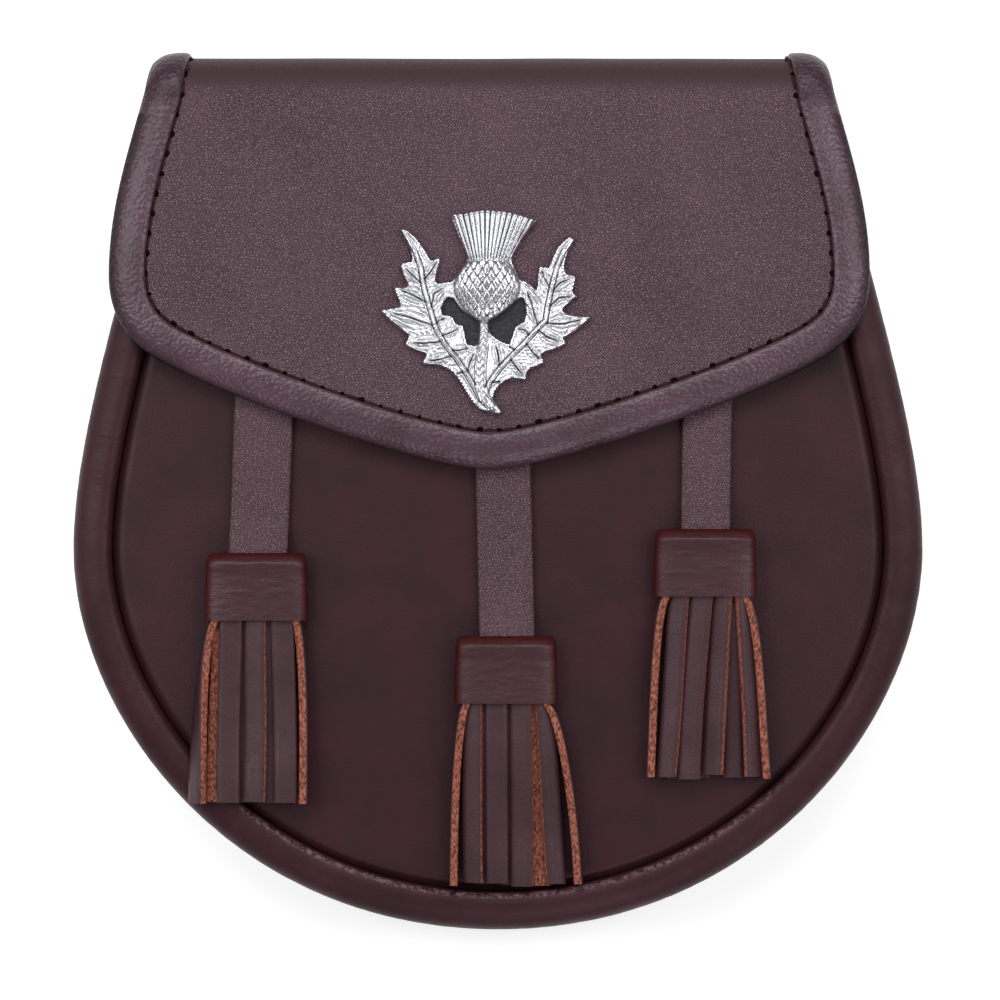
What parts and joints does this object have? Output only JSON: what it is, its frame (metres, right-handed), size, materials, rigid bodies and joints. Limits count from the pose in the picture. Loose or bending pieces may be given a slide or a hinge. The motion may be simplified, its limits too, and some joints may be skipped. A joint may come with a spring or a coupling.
{
  "type": "sporran pouch",
  "caption": "Round-bottomed leather day sporran with a bound, pointed flap, a pierced thistle badge, strip tassels on straps and belt loops behind, lying on its back",
  "frame": {"origin": "centre of the bounding box in X and Y, on the surface that the pouch lies on", "axes": "+X across the front to the right as seen from the front, +Y from the rounded bottom to the folded top of the flap, +Z out of the front; the pouch lies on its back"},
  "size_m": [0.196, 0.2024, 0.046],
  "materials": {
    "satin_leather": "smooth, satin",
    "rolled_leather": "soft, satin, slightly wrinkled",
    "grained_leather": "pebbled grain, semi-matt",
    "binding_leather": "soft, satin, creased",
    "strap_leather": "pebbled grain, semi-matt",
    "sleeve_leather": "smooth, satin, creased",
    "cut_leather": "grain face brown, cut edges raw tan",
    "antiqued_metal": "cast, bright on the relief and darkened in the recesses",
    "stud_metal": "plain"
  },
  "bodies": {
    "root": {"pouch_front": "satin_leather", "pouch_gusset": "satin_leather", "pouch_back": "satin_leather", "edge_roll": "rolled_leather", "flap": "grained_leather", "flap_binding": "binding_leather", "flap_stud": "stud_metal", "badge": "antiqued_metal", "tassel_strap_left": "strap_leather", "tassel_strap_centre": "strap_leather", "tassel_strap_right": "strap_leather", "tassel_cap_left": "sleeve_leather", "tassel_cap_centre": "sleeve_leather", "tassel_cap_right": "sleeve_leather", "tassel_fringe_left": "cut_leather", "tassel_fringe_centre": "cut_leather", "tassel_fringe_right": "cut_leather", "belt_loop_left": "strap_leather", "belt_loop_right": "strap_leather"}
  },
  "joints": []
}
